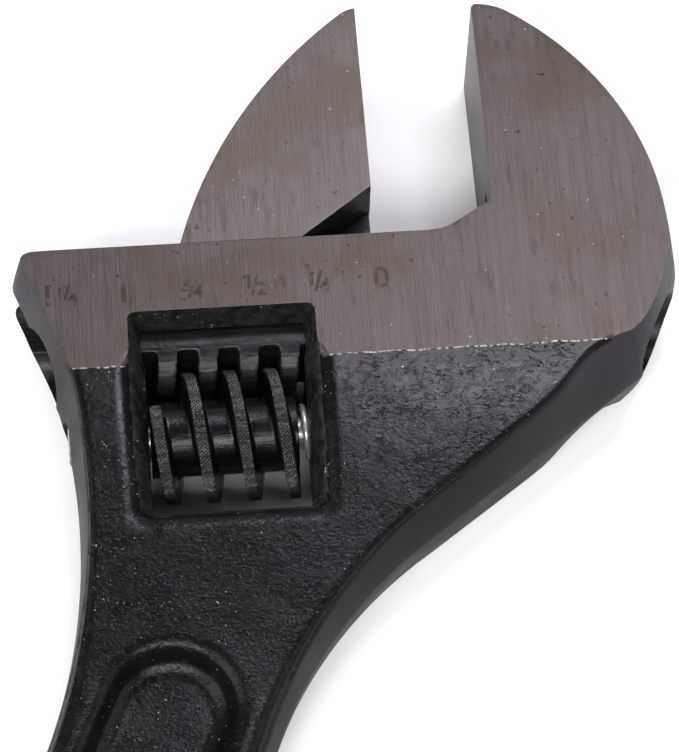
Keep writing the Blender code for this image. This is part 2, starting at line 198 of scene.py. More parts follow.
def noise_3d(points, cell, seed):
    """Smooth value noise from -1 to 1 at points."""
    size = 64
    table = lattice(seed, (size, size, size))
    scaled = points / cell
    base = np.floor(scaled).astype(int)
    part = smooth(scaled - base)
    total = np.zeros(len(points))
    for corner in range(8):
        bits = np.array([corner & 1, corner >> 1 & 1, corner >> 2 & 1])
        index = (base + bits) % size
        weight = np.prod(np.where(bits == 1, part, 1 - part), axis=1)
        total += weight * table[index[:, 0], index[:, 1], index[:, 2]]
    return total


def arc(centre, radius, start, end, steps):
    angles = np.linspace(start, end, steps + 1)
    return [(centre[0] + radius * math.cos(a), centre[1] + radius * math.sin(a)) for a in angles]


def to_head(x, y):
    c, s = math.cos(HEAD_ANGLE), math.sin(HEAD_ANGLE)
    return (x * c + y * s, y * c - x * s)


def polygon_field(u, v, outline):
    """Signed distance to a closed outline, positive inside."""
    nearest = np.full(u.shape, np.inf)
    inside = np.zeros(u.shape, bool)
    for (u0, v0), (u1, v1) in zip(outline, outline[1:] + outline[:1]):
        du, dv = u1 - u0, v1 - v0
        along = np.clip(((u - u0) * du + (v - v0) * dv) / (du * du + dv * dv), 0.0, 1.0)
        nearest = np.minimum(nearest, (u - u0 - along * du) ** 2 + (v - v0 - along * dv) ** 2)
        if dv:
            inside ^= ((v0 > v) != (v1 > v)) & (u < u0 + (v - v0) / dv * du)
    return np.where(inside, 1.0, -1.0) * np.sqrt(nearest)


class OutlineMap:
    """A flat outline's signed distance, kept on a fine grid and read by interpolation."""

    def __init__(self, outline, step=0.3, margin=3.0):
        points = np.array(outline)
        self.low = points.min(0) - margin
        self.step = step
        counts = np.ceil((points.max(0) + margin - self.low) / step).astype(int) + 1
        u, v = np.meshgrid(*[self.low[k] + step * np.arange(counts[k]) for k in (0, 1)], indexing="ij")
        self.values = polygon_field(u, v, outline)

    def __call__(self, u, v):
        a = np.clip((u - self.low[0]) / self.step, 0, self.values.shape[0] - 1.001)
        b = np.clip((v - self.low[1]) / self.step, 0, self.values.shape[1] - 1.001)
        i, j = a.astype(int), b.astype(int)
        s, t = a - i, b - j
        grid = self.values
        low = grid[i, j] * (1 - s) + grid[i + 1, j] * s
        high = grid[i, j + 1] * (1 - s) + grid[i + 1, j + 1] * s
        return low * (1 - t) + high * t


# ---------------------------------------------------------------- from field to mesh
BLOCK = 14                      # grid points along a side of the blocks that sampling skips or fills
STEEPEST = 1.5                  # no field here changes faster than this much per millimetre
QEF_PULL = 0.03                 # holds a cell's vertex near the middle of its crossings


def sample(field, low, counts, step, steepest):
    """The field on a grid; blocks that lie wholly inside or outside get their middle's value."""
    values = np.empty(counts, np.float32)
    reach = steepest * step * BLOCK * math.sqrt(3) / 2
    starts = [np.arange(0, count, BLOCK) for count in counts]
    blocks = np.stack(np.meshgrid(*starts, indexing="ij"), -1).reshape(-1, 3)
    middles = field(*(low + step * (blocks + (BLOCK - 1) / 2)).T)
    for (i, j, k), middle in zip(blocks, middles):
        part = values[i:i + BLOCK, j:j + BLOCK, k:k + BLOCK]
        if abs(middle) > reach:
            part[:] = middle
            continue
        lines = [low[a] + step * (start + np.arange(size))
                 for a, (start, size) in enumerate(zip((i, j, k), part.shape))]
        part[:] = field(*np.meshgrid(*lines, indexing="ij"))
    return values


def gradient(field, points, reach):
    result = np.empty_like(points)
    for axis in range(3):
        shift = np.zeros(3)
        shift[axis] = reach
        result[:, axis] = field(*(points + shift).T) - field(*(points - shift).T)
    return result / np.maximum(np.linalg.norm(result, axis=1, keepdims=True), 1e-9)


def crossings(field, values, low, step, axis):
    """Grid edges along one axis that cross the surface: their index, point, normal and direction."""
    first = np.moveaxis(values, axis, 0)[:-1]
    second = np.moveaxis(values, axis, 0)[1:]
    cross = (first > 0) != (second > 0)
    index = np.argwhere(cross)
    a, b = first[cross], second[cross]
    order = [0, 0, 0]
    others = [k for k in range(3) if k != axis]
    order[axis], order[others[0]], order[others[1]] = 0, 1, 2
    index = index[:, order]
    start = low + step * index
    near, far = np.zeros(len(a)), np.ones(len(a))
    leaving = a > 0
    for turn in range(5):
        share = near + (far - near) * a / (a - b) if turn % 2 == 0 else (near + far) / 2
        point = start.copy()
        point[:, axis] += step * share
        value = field(*point.T)
        same = (value > 0) == leaving
        near, a = np.where(same, share, near), np.where(same, value, a)
        far, b = np.where(same, far, share), np.where(same, b, value)
        b = np.where(a == b, a - 1.0, b)
    return index, point, gradient(field, point, step * 0.08), leaving


def cell_vertices(cells, points, normals, low, counts, step):
    """One vertex in each cell, where the planes through its crossings meet best."""
    flat = np.ravel_multi_index(cells.T, counts)
    names, where = np.unique(flat, return_inverse=True)
    count = np.bincount(where)
    centre = np.stack([np.bincount(where, points[:, k]) for k in range(3)], 1) / count[:, None]
    offset = np.einsum("ij,ij->i", normals, points - centre[where])
    matrix = np.zeros((len(names), 3, 3))
    right = np.zeros((len(names), 3))
    for i in range(3):
        right[:, i] = np.bincount(where, normals[:, i] * offset)
        for j in range(3):
            matrix[:, i, j] = np.bincount(where, normals[:, i] * normals[:, j])
    matrix += np.eye(3) * QEF_PULL * count[:, None, None]
    position = centre + np.linalg.solve(matrix, right[..., None])[..., 0]
    corner = low + step * np.stack(np.unravel_index(names, counts), 1)
    position = np.clip(position, corner - 0.1 * step, corner + 1.1 * step)
    return names, position


def contour(field, low, high, step, steepest=STEEPEST):
    """Vertices and quads of a field's surface, with its creases kept sharp."""
    low = np.array(low, float) - 2.37 * step
    counts = np.ceil((np.array(high) - low) / step).astype(int) + 3
    values = sample(field, low, counts, step, steepest)
    found = [crossings(field, values, low, step, axis) for axis in range(3)]
    cells, points, normals, quads = [], [], [], []
    for axis, (index, point, normal, leaving) in enumerate(found):
        others = [(axis + 1) % 3, (axis + 2) % 3]
        corners = []
        for a, b in ((0, 0), (1, 0), (1, 1), (0, 1)):
            cell = index.copy()
            cell[:, others[0]] -= a
            cell[:, others[1]] -= b
            corners.append(np.ravel_multi_index(cell.T, counts))
            cells.append(cell)
            points.append(point)
            normals.append(normal)
        quad = np.stack(corners, 1)
        quad[~leaving] = quad[~leaving][:, ::-1]
        quads.append(quad)
    names, position = cell_vertices(np.concatenate(cells), np.concatenate(points),
                                    np.concatenate(normals), low, counts, step)
    return position, np.searchsorted(names, np.concatenate(quads))


def add_mesh(name, position, quads, materials, slots=None, crease=38.0):
    """A mesh object in the row frame from head coordinates in millimetres."""
    turned = np.array(HEAD_MATRIX.to_3x3()) @ (position.T * MM)
    place = turned.T + np.array(HEAD_MATRIX.translation)
    mesh = bpy.data.meshes.new(name)
    mesh.vertices.add(len(place))
    mesh.vertices.foreach_set("co", place.ravel())
    mesh.loops.add(quads.size)
    mesh.loops.foreach_set("vertex_index", quads.ravel())
    mesh.polygons.add(len(quads))
    mesh.polygons.foreach_set("loop_start", np.arange(0, quads.size, 4))
    for mat in materials:
        mesh.materials.append(mat)
    if slots is not None:
        mesh.polygons.foreach_set("material_index", slots)
    mesh.update(calc_edges=True)
    mesh.validate()
    mesh.shade_smooth()
    mesh.set_sharp_from_angle(angle=math.radians(crease))
    obj = bpy.data.objects.new(name, mesh)
    bpy.context.scene.collection.objects.link(obj)
    return obj


# ---------------------------------------------------------------- the forged body
def parting_line():
    """The forging's outline at mid thickness, clockwise, with stock left for machining."""
    stock = 3.0
    throat = [(-LEFT_END, 0.0), (-LEFT_END, stock), (-stock, stock), (-stock, JAW_HEIGHT + stock)]
    top = math.asin((JAW_HEIGHT + stock - BACK_CENTRE[1]) / BACK_RADIUS)
    back = arc(BACK_CENTRE, BACK_RADIUS, top, math.radians(-2), 40)
    heel = arc(HEEL_CENTRE, HEEL_RADIUS, math.radians(-12), math.radians(-34), 14)
    right_centre = (HANDLE_X + NECK_HALF_WIDTH + RIGHT_NECK[1], RIGHT_NECK[0])
    right = arc(right_centre, RIGHT_NECK[1], math.pi - RIGHT_NECK_SWEEP, math.pi, 24)
    end = arc((HANDLE_X, HANDLE_END_Y + END_RADIUS), END_RADIUS, 0.0, -math.pi, 60)
    left_centre = (HANDLE_X - NECK_HALF_WIDTH - LEFT_NECK[1], LEFT_NECK[0])
    left = arc(left_centre, LEFT_NECK[1], 0.0, math.radians(35), 24)
    return throat + back + heel + [to_head(*p) for p in right + end + left]


outline_map = OutlineMap(parting_line())


def forged_height(u, v, side_sign):
    """Half thickness of the forging, with the lumps that its skin has."""
    drop = (MID - HANDLE_HALF_THICKNESS) * smooth((-v - FACE_SLOPE_START) / FACE_SLOPE_LENGTH)
    stock = np.clip(STOCK_SLOPE * (v + FACE_SLOPE_START), 0.0, STOCK)
    lumps = 0.030 * noise_2d(u + 300 * side_sign, v, 3.6, 11)
    return MID - drop + stock + lumps


def panel_field(u, v):
    """Distance inside the handle's sunk panel: a capsule that widens towards the handle's end."""
    c, s = math.cos(HEAD_ANGLE), math.sin(HEAD_ANGLE)
    x, y = u * c - v * s - HANDLE_X, u * s + v * c
    share = np.clip((PANEL_TOP[0] - y) / (PANEL_TOP[0] - PANEL_END[0]), 0.0, 1.0)
    radius = PANEL_TOP[1] + (PANEL_END[1] - PANEL_TOP[1]) * share
    middle = PANEL_TOP[0] + (PANEL_END[0] - PANEL_TOP[0]) * share
    return radius - np.hypot(x, y - middle)


def window_field(u, v, depth):
    """Inside the head's window: forged walls that lean in, down to the milled pocket."""
    share = np.clip(depth / WINDOW_DEPTH, -0.5, 1.0)
    left, right, low, high = [w + (p - w) * share for w, p in zip(WINDOW, POCKET)]
    corner = 0.3 + 1.8 * (1 - np.clip(share, 0.0, 1.0))
    sides = soft_min(u - left, right - u, corner)
    return soft_min(soft_min(sides, v - low, corner), high - v, corner * 0.5)


def forged_side(u, v, s):
    """Distance inside the forging's sides, which lean in from the parting line to both faces."""
    left_lean = LEFT_LEAN * smooth((-u - 40.0) / 4.0) * smooth((v + 24.0) / 8.0) * smooth((-v - 0.5) / 4.0)
    from_heel = np.hypot(u - HEEL_LEAN_PLACE[0], v - HEEL_LEAN_PLACE[1]) / HEEL_LEAN_SPREAD
    heel_lean = HEEL_LEAN * np.exp(-from_heel ** 2 / 2)
    side = outline_map(u, v) - INSET - (DRAFT + left_lean + heel_lean) * (s / MID) ** LEAN_POWER
    rail_top = 3 * np.clip(u - RAIL_END_START, 0.0, 20.0) - v
    return soft_min(side, rail_top, RAIL_END_ROUND)


def forging(u, v, z):
    """The body as forged, before any machining."""
    off = z - MID
    s = np.abs(off)
    height = forged_height(u, v, np.sign(off))
    edge = HEAD_EDGE + (HANDLE_EDGE - HEAD_EDGE) * smooth((-v - 30.0) / 25.0)
    solid = soft_min(forged_side(u, v, s), height - s, edge)
    solid = soft_min(solid, JAW_HEIGHT - v, EDGE_ROUND)
    panel = panel_field(u, v) - np.clip(height - s, 0.0, PANEL_DEPTH) * PANEL_LEAN
    sunk = soft_min(panel, s - (height - PANEL_DEPTH), EDGE_ROUND)
    solid = soft_min(solid, -sunk, PANEL_EDGE_ROUND)
    opening = window_field(u, v, MID - s)
    shoulder = 0.2 + 1.5 * smooth((WINDOW_DEPTH - MID + s) / 2.0)
    return soft_min(solid, -opening, shoulder)


# the throat's outline: the rail, the corner at its root, the gripping face and its chamfered tip
ROOT = [(-6.9, 0.0), (-5.5, 0.15), (-4.6, 0.45), (-3.9, 0.85), (-0.45, 3.05), (-0.1, 3.5), (0.0, 4.1)]
CHAMFER = 0.4
FAR_LEFT = -100.0
FAR_ABOVE = 60.0
THROAT = ([(FAR_LEFT, 0.0)] + ROOT + [(0.0, JAW_HEIGHT - CHAMFER), (CHAMFER, JAW_HEIGHT)]
          + [(CHAMFER, FAR_ABOVE), (FAR_LEFT, FAR_ABOVE)])


def hole_field(u, v, centre, radius):
    return radius - np.hypot(u - centre[0], v - centre[1])


def machining(u, v, z):
    """What the machining leaves: negative wherever a tool has been."""
    off = z - MID
    s = np.abs(off)
    ground = MID - GROUND_DEPTH - s
    throat = -polygon_field(u, v, THROAT)
    slot = -np.minimum(np.minimum(SLOT_HALF - s, v - BORE_V), np.minimum(SLOT_RUN_OUT - u, SLOT_TOP - v))
    bore = np.hypot(v - BORE_V, off) - BORE_RADIUS
    from_axle = np.hypot(v - WORM_V, off)
    pin = from_axle - np.where(u < PIN_HEAD_END, PIN_HEAD_RADIUS, PIN_RADIUS) - PIN_CLEARANCE
    pin = np.maximum(pin, u - PIN_ENDS[1] - PIN_END_CLEARANCE)
    seat = np.maximum(from_axle - SPRING_SEAT[0], np.maximum(u - SPRING_SEAT[1], SPRING_SEAT_START - u))
    hang = -hole_field(u, v, to_head(HANDLE_X, HANDLE_END_Y + END_RADIUS), HANG_HOLE_RADIUS)
    result = ground
    for cut in (throat, slot, bore, pin, seat, hang):
        result = np.minimum(result, cut)
    return result


def body_field(u, v, z):
    return np.minimum(forging(u, v, z), machining(u, v, z))


FORGED, GROUND, MACHINED, SIDE, WALL = range(5)
SKIN_LAYERS = ((0.012, 2.4, 21), (0.006, 1.1, 22))     # height, size and seed of each layer of lumps
MACHINED_WITHIN = 0.03          # a face's middle this near a tool's surface is machined
THROAT_WITHIN = 0.04
LINE_MARGIN = 2.0               # the ground finish runs this far past the line, which its shader draws


def thin_out(obj, triangles, crease):
    """Brings a mesh down to a number of triangles, mostly on its flats."""
    faces = sum(len(polygon.vertices) - 2 for polygon in obj.data.polygons)
    if faces > triangles:
        modifier = obj.modifiers.new("thin_out", "DECIMATE")
        modifier.ratio = triangles / faces
        bpy.context.view_layer.objects.active = obj
        bpy.ops.object.modifier_apply(modifier="thin_out")
        obj.data.shade_smooth()
        obj.data.set_sharp_from_angle(angle=math.radians(crease))
    return obj


def body_slots(position, quads):
    """Which finish each face of the body has, from where its middle lies."""
    middle = position[quads].mean(1)
    u, v, z = middle.T
    s = np.abs(z - MID)
    machined = machining(u, v, z) < MACHINED_WITHIN
    throat = np.abs(polygon_field(u, v, THROAT)) < THROAT_WITHIN
    flat = s > MID - GROUND_DEPTH - 0.15
    slots = np.full(len(quads), FORGED)
    slots[machined & ~flat] = MACHINED
    near_line = v < -FACE_SLOPE_START + LINE_MARGIN
    slots[flat & (v > -FACE_SLOPE_START - LINE_MARGIN) & (machined | near_line)] = GROUND
    slots[machined & throat] = GROUND
    skin = slots == FORGED
    lean = np.abs(face_normals(position, quads)[:, 2])
    walls = skin & (window_field(u, v, MID - s) > -0.45) & (lean < 0.75)
    slots[skin & (outline_map(u, v) < 3.5) & (lean < 0.55)] = SIDE
    slots[walls] = WALL
    return slots


def face_normals(position, quads):
    corners = position[quads]
    face = np.cross(corners[:, 2] - corners[:, 0], corners[:, 3] - corners[:, 1])
    return face / np.maximum(np.linalg.norm(face, axis=1, keepdims=True), 1e-12)


def vertex_normals(position, quads):
    face = face_normals(position, quads)
    normal = np.zeros_like(position)
    for k in range(4):
        for axis in range(3):
            normal[:, axis] += np.bincount(quads[:, k], face[:, axis], len(position))
    return normal / np.maximum(np.linalg.norm(normal, axis=1, keepdims=True), 1e-9)


def roughen(position, quads):
    """Gives the forged faces, but not the trimmed sides, their uneven skin."""
    normal = vertex_normals(position, quads)
    unmachined = np.clip(machining(*position.T) / 0.5, 0.0, 1.0)
    facing = smooth((np.abs(normal[:, 2]) - 0.6) / 0.3)
    height = sum(size * noise_3d(position, cell, seed) for size, cell, seed in SKIN_LAYERS)
    return position + normal * (height * unmachined * facing)[:, None]


def stretched(v):
    """Lets the grid's lines lie further apart down the handle, easing in over a few millimetres."""
    below = np.clip(COARSE_START - v, 0.0, None)
    ease = 8.0
    return v - (COARSE - 1) * (below - ease * (1 - np.exp(-below / ease)))


def stretched_body_field(u, v, z):
    return body_field(u, stretched(v), z)


def make_body(materials):
    step = 0.32
    low = (-112.0, -129.0, 0.0)
    high = (19.5, 29.0, THICKNESS)
    position, quads = contour(stretched_body_field, low, high, step, STEEPEST * COARSE)
    position[:, 1] = stretched(position[:, 1])
    position = roughen(position, quads)
    return add_mesh("forged_body", position, quads, materials, body_slots(position, quads))


# ---------------------------------------------------------------- the movable jaw
def rack_field(u, v, off):
    """The round rack, with grooves across it that slant as the worm's thread does."""
    rack = RACK_RADIUS - np.hypot(v - BORE_V, off)
    ends = np.minimum(u - RACK_ENDS[0], RACK_ENDS[1] - u)
    rack = soft_min(rack, ends, RACK_END_ROUND)
    across = u - RIDGE_U - off * PITCH / (2 * math.pi * LEAD_RADIUS)
    tooth = np.abs(np.mod(across + PITCH / 2, PITCH) - PITCH / 2)
    half = GROOVE_HALF + GROOVE_TAPER * np.clip(GROOVE_ROOT_V - v, 0.0, 4.0)
    groove = soft_min(half - tooth, GROOVE_ROOT_V - v, GROOVE_ROUND[0])
    groove = np.minimum(groove, np.minimum(across - GROOVE_SPAN[0], GROOVE_SPAN[1] - across))
    return soft_min(rack, -groove, GROOVE_ROUND[1])


def jaw_field(u, v, z):
    off = z - MID
    s = np.abs(off)
    face = -REST_OPENING - u
    from_centre = np.hypot(u - JAW_BACK_CENTRE[0], v - JAW_BACK_CENTRE[1])
    back = JAW_BACK_RADIUS - JAW_LEAN * (s / MID) ** 1.5 - from_centre
    cheek = np.minimum(soft_min(back, JAW_HEIGHT + JAW_TIP - v, JAW_TIP_ROUND), face)
    run, rise = JAW_RELIEF
    foot_u, foot_v = JAW_RELIEF_FOOT
    relief = ((v - foot_v) * run - (u - foot_u) * rise) / math.hypot(run, rise)
    sides = np.minimum(np.minimum(cheek, relief), np.minimum(v - JAW_FOOT, MID - CHEEK_INSET - s))
    web = np.minimum(SLOT_HALF - WEB_CLEARANCE - s, np.minimum(u - WEB_LEFT, face - WEB_INSET[1]))
    web = np.minimum(np.minimum(web, back - WEB_INSET[0]), np.minimum(v - BORE_V, WEB_TOP - v))
    return np.maximum(np.maximum(sides, web), rack_field(u, v, off))


def jaw_slots(position, quads):
    middle = position[quads].mean(1)
    u, v, z = middle.T
    s = np.abs(z - MID)
    flat = (s > MID - 0.25) & (v > 0.0)
    face = (u > -REST_OPENING - 0.06) & (v > 5.0)
    slots = np.full(len(quads), MACHINED)
    slots[flat | face] = GROUND
    return slots


def make_jaw(materials):
    step = 0.22
    position, quads = contour(jaw_field, (-44.0, -14.2, 0.0), (-5.5, 28.5, THICKNESS), step)
    return add_mesh("sliding_jaw_and_rack", position, quads, materials, jaw_slots(position, quads))


# ---------------------------------------------------------------- the worm, its pin and spring
KNURL_TEETH = 112
KNURL_DEPTH = 0.14
KNURL_SLANT = 8.0               # radians of the knurl's wave per millimetre across the crest
RIDGE_START = math.radians(86 - 360)    # where along its helix the thread starts, square
RIDGE_HALF_TIP = 0.56
RIDGE_TAPER = 0.07
RIDGE_ROUND = (0.12, 0.5)       # along the crest's edges and in the corner at its root
WORM_END_ROUND = 0.15
WORM_CREASE = 50.0              # degrees, above which the worm's edges are sharp
PIN_SLOT = (0.4, 0.9)           # half width and depth of the driver slot
PIN_THREAD = (0.7, 0.3)         # pitch and depth
PIN_END_ROUND = 0.5
SPRING_TURNS = 3.5
SPRING_RADIUS = 2.6
SPRING_WIRE = 0.3
SPRING_CLEARANCE = 0.5          # between the wire's middle and what it presses on


def worm_field(u, v, z):
    off_v, off_z = v - WORM_V, z - MID
    r = np.hypot(off_v, off_z)
    angle = np.arctan2(off_z, off_v)
    turns = (u - RIDGE_U) / PITCH - angle / (2 * math.pi)
    whole = np.round(turns)
    across = PITCH * (turns - whole)
    past_start = (angle + 2 * math.pi * whole - RIDGE_START) * r
    half = RIDGE_HALF_TIP + RIDGE_TAPER * np.clip(WORM_RADIUS - r, 0.0, 3.0)
    wave = KNURL_TEETH * angle / 2
    hatch = np.abs(np.sin(wave + KNURL_SLANT * across)) * np.abs(np.sin(wave - KNURL_SLANT * across))
    crest = WORM_RADIUS - KNURL_DEPTH * (1 - hatch) - r
    ridge = np.minimum(soft_min(half - np.abs(across), crest, RIDGE_ROUND[0]), past_start)
    solid = soft_max(WORM_ROOT - r, ridge, RIDGE_ROUND[1])
    ends = np.minimum(u - WORM_ENDS[0], WORM_ENDS[1] - u)
    solid = soft_min(solid, ends, WORM_END_ROUND)
    return np.minimum(solid, r - PIN_RADIUS - PIN_CLEARANCE)


def make_worm(materials):
    step = 0.09
    reach = WORM_RADIUS
    low = (WORM_ENDS[0], WORM_V - reach, MID - reach)
    high = (WORM_ENDS[1], WORM_V + reach, MID + reach)
    position, quads = contour(worm_field, low, high, step)
    middle = position[quads].mean(1)
    r = np.hypot(middle[:, 1] - WORM_V, middle[:, 2] - MID)
    slots = np.where(r > WORM_RADIUS - 0.25, 1, 0)
    worm = add_mesh("knurled_worm", position, quads, materials, slots, WORM_CREASE)
    return thin_out(worm, WORM_TRIANGLES, WORM_CREASE)


def pin_field(u, v, z):
    off_v, off_z = v - WORM_V, z - MID
    r = np.hypot(off_v, off_z)
    pitch, depth = PIN_THREAD
    turn = np.mod(u / pitch - np.arctan2(off_z, off_v) / (2 * math.pi), 1.0)
    groove = depth * np.abs(2 * turn - 1)
    head = np.minimum(PIN_HEAD_RADIUS - groove - r, PIN_HEAD_END - u)
    head = soft_min(head, u - PIN_ENDS[0], PIN_END_ROUND)
    shaft = np.minimum(PIN_RADIUS - r, np.minimum(u - PIN_HEAD_END + 1.0, PIN_ENDS[1] - u))
    slot = np.minimum(PIN_SLOT[0] - np.abs(off_z), PIN_ENDS[0] + PIN_SLOT[1] - u)
    return np.minimum(np.maximum(head, shaft), -slot)


def make_pin(materials):
    step = 0.11
    reach = PIN_HEAD_RADIUS
    low = (PIN_ENDS[0], WORM_V - reach, MID - reach)
    high = (PIN_ENDS[1], WORM_V + reach, MID + reach)
    position, quads = contour(pin_field, low, high, step)
    return add_mesh("threaded_worm_pin", position, quads, materials)


def make_spring(mat):
    start, end = WORM_ENDS[1] + SPRING_CLEARANCE, SPRING_SEAT[1] - SPRING_CLEARANCE
    points_per_turn = 28
    count = int(SPRING_TURNS * points_per_turn)
    curve = bpy.data.curves.new("coil_spring", "CURVE")
    curve.dimensions = "3D"
    curve.bevel_depth = SPRING_WIRE * MM
    curve.bevel_resolution = 5
    curve.use_fill_caps = True
    spline = curve.splines.new("POLY")
    spline.points.add(count)
    for i, point in enumerate(spline.points):
        angle = 2 * math.pi * SPRING_TURNS * i / count
        local = Vector((start + (end - start) * i / count, WORM_V + SPRING_RADIUS * math.cos(angle),
                        MID + SPRING_RADIUS * math.sin(angle)))
        point.co = (*(HEAD_MATRIX @ (local * MM)), 1.0)
    curve.materials.append(mat)
    obj = bpy.data.objects.new("coil_spring", curve)
    bpy.context.scene.collection.objects.link(obj)
    return obj


# ---------------------------------------------------------------- scale marks
# a fraction's three glyphs stand at these places from the mark's own
FRACTION = ((-0.62, 0.42), (0.0, 0.0), (0.62, -0.45))
# u and glyphs of each mark; the last one's whole inch stands by itself
MARKS = ((-12.0, ("0",)), (-18.35, ("1", "/", "4")), (-24.7, ("1", "/", "2")), (-31.05, ("3", "/", "4")),
         (-37.9, ("1",)), (-43.6, ("1", "/", "4")))
WHOLE_INCH = (-45.5, "1")
MARK_V = -5.4
MARK_HALF_DEPTH = 0.45 * GROUND_DEPTH
MARK_BOLDNESS = 0.05
WHOLE_SIZE = 3.3
FIGURE_SIZE = 2.1


def add_text(words, size, place):
    curve = bpy.data.curves.new("mark", "FONT")
    curve.body = words
    curve.size = size * MM
    curve.align_x = "CENTER"
    curve.align_y = "CENTER"
    curve.extrude = MARK_HALF_DEPTH * MM
    curve.offset = MARK_BOLDNESS * MM
    curve.resolution_u = 6
    text = bpy.data.objects.new("mark", curve)
    bpy.context.scene.collection.objects.link(text)
    local = Vector((place[0], place[1], THICKNESS - GROUND_DEPTH / 2)) * MM
    text.matrix_world = HEAD_MATRIX @ Matrix.Translation(local)
    return text


def mark_texts():
    texts = [add_text(WHOLE_INCH[1], WHOLE_SIZE, (WHOLE_INCH[0], MARK_V))]
    for u, glyphs in MARKS:
        if len(glyphs) == 1:
            texts.append(add_text(glyphs[0], WHOLE_SIZE, (u, MARK_V)))
            continue
        for glyph, (du, dv) in zip(glyphs, FRACTION):
            size = WHOLE_SIZE if glyph == "/" else FIGURE_SIZE
            texts.append(add_text(glyph, size, (u + du, MARK_V + dv)))
    return texts


def make_marks(mat):
    """The opening scale, as one piece a hair above the ground face."""
    texts = mark_texts()
    bpy.context.view_layer.update()
    joined = bmesh.new()
    for text in texts:
        mesh = bpy.data.meshes.new_from_object(text.evaluated_get(bpy.context.evaluated_depsgraph_get()))
        mesh.transform(text.matrix_world)
        joined.from_mesh(mesh)
        bpy.data.meshes.remove(mesh)
        bpy.data.objects.remove(text, do_unlink=True)
    bmesh.ops.remove_doubles(joined, verts=joined.verts, dist=1e-7)
    mesh = bpy.data.meshes.new("scale_marks")
    joined.to_mesh(mesh)
    joined.free()
    mesh.materials.clear()
    mesh.materials.append(mat)
    obj = bpy.data.objects.new("scale_marks", mesh)
    bpy.context.scene.collection.objects.link(obj)
    return obj


# ---------------------------------------------------------------- materials
class Shader:
    """Builds one Principled material a node at a time."""

    def __init__(self, name, roughness, metallic):
        self.mat = bpy.data.materials.new(name)
        self.mat.use_nodes = True
        self.tree = self.mat.node_tree
        self.principled = self.tree.nodes["Principled BSDF"]
        self.principled.inputs["Roughness"].default_value = roughness
        self.principled.inputs["Metallic"].default_value = metallic
        coordinates = self.tree.nodes.new("ShaderNodeTexCoord")
        mapping = self.tree.nodes.new("ShaderNodeMapping")
        mapping.inputs["Rotation"].default_value = (0.0, 0.0, -HEAD_ANGLE)
        corner = Matrix.Rotation(-HEAD_ANGLE, 3, "Z") @ RAIL_CORNER
        mapping.inputs["Location"].default_value = tuple(-corner)
        self.link(coordinates.outputs["Object"], mapping.inputs["Vector"])
        self.place = mapping.outputs["Vector"]

    def link(self, a, b):
        self.tree.links.new(a, b)

    def stretched(self, scale):
        """The place with each axis scaled, in cycles per metre."""
        node = self.tree.nodes.new("ShaderNodeVectorMath")
        node.operation = "MULTIPLY"
        self.link(self.place, node.inputs[0])
        node.inputs[1].default_value = scale
        return node.outputs[0]

    def noise(self, scale, detail=3.0, roughness=0.55, distortion=0.0):
        node = self.tree.nodes.new("ShaderNodeTexNoise")
        if isinstance(scale, tuple):
            self.link(self.stretched(scale), node.inputs["Vector"])
            node.inputs["Scale"].default_value = 1.0
        else:
            self.link(self.place, node.inputs["Vector"])
            node.inputs["Scale"].default_value = scale
        node.inputs["Detail"].default_value = detail
        node.inputs["Roughness"].default_value = roughness
        node.inputs["Distortion"].default_value = distortion
        return node.outputs["Fac"]

    def ramp(self, value, low, high, to_low=0.0, to_high=1.0):
        node = self.tree.nodes.new("ShaderNodeMapRange")
        node.interpolation_type = "SMOOTHSTEP"
        self.link(value, node.inputs["Value"])
        for name, number in zip(("From Min", "From Max", "To Min", "To Max"), (low, high, to_low, to_high)):
            node.inputs[name].default_value = number
        return node.outputs["Result"]

    def math(self, operation, a, b):
        node = self.tree.nodes.new("ShaderNodeMath")
        node.operation = operation
        for socket, value in zip(node.inputs, (a, b)):
            if isinstance(value, (int, float)):
                socket.default_value = value
            else:
                self.link(value, socket)
        return node.outputs[0]

    def mix(self, share, a, b):
        node = self.tree.nodes.new("ShaderNodeMix")
        node.data_type = "RGBA"
        self.link(share, node.inputs["Factor"])
        for socket, value in ((node.inputs["A"], a), (node.inputs["B"], b)):
            if isinstance(value, tuple):
                socket.default_value = (*value, 1.0)
            else:
                self.link(value, socket)
        return node.outputs["Result"]

    def mix_value(self, share, a, b):
        node = self.tree.nodes.new("ShaderNodeMix")
        node.data_type = "FLOAT"
        self.link(share, node.inputs[0])
        self.link(a, node.inputs[2])
        node.inputs[3].default_value = b
        return node.outputs[0]

    def axis(self, name):
        node = self.tree.nodes.new("ShaderNodeSeparateXYZ")
        self.link(self.place, node.inputs[0])
        return node.outputs[name]

    def facing(self):
        """1 on the wrench's two broad faces, 0 on its sides."""
        coordinates = self.tree.nodes.new("ShaderNodeTexCoord")
        node = self.tree.nodes.new("ShaderNodeSeparateXYZ")
        self.link(coordinates.outputs["Normal"], node.inputs[0])
        return self.ramp(self.math("ABSOLUTE", node.outputs["Z"], 0.0), 0.6, 0.85, 0.12, 1.0)

    def bump(self, height, strength, distance):
        node = self.tree.nodes.new("ShaderNodeBump")
        node.inputs["Strength"].default_value = strength
        node.inputs["Distance"].default_value = distance
        self.link(height, node.inputs["Height"])
        self.link(node.outputs["Normal"], self.principled.inputs["Normal"])

    def finish(self, colour, roughness=None, metallic=None):
        self.link(colour, self.principled.inputs["Base Color"])
        if roughness is not None:
            self.link(roughness, self.principled.inputs["Roughness"])
        if metallic is not None:
            self.link(metallic, self.principled.inputs["Metallic"])
        return self.mat


SKIN_IOR = 1.24                 # low, as the phosphate coat's own shine is weak
SIDE_IOR = 1.12
STEEL_TINT = (0.64, 0.635, 0.64)        # scales every colour of the ground steel


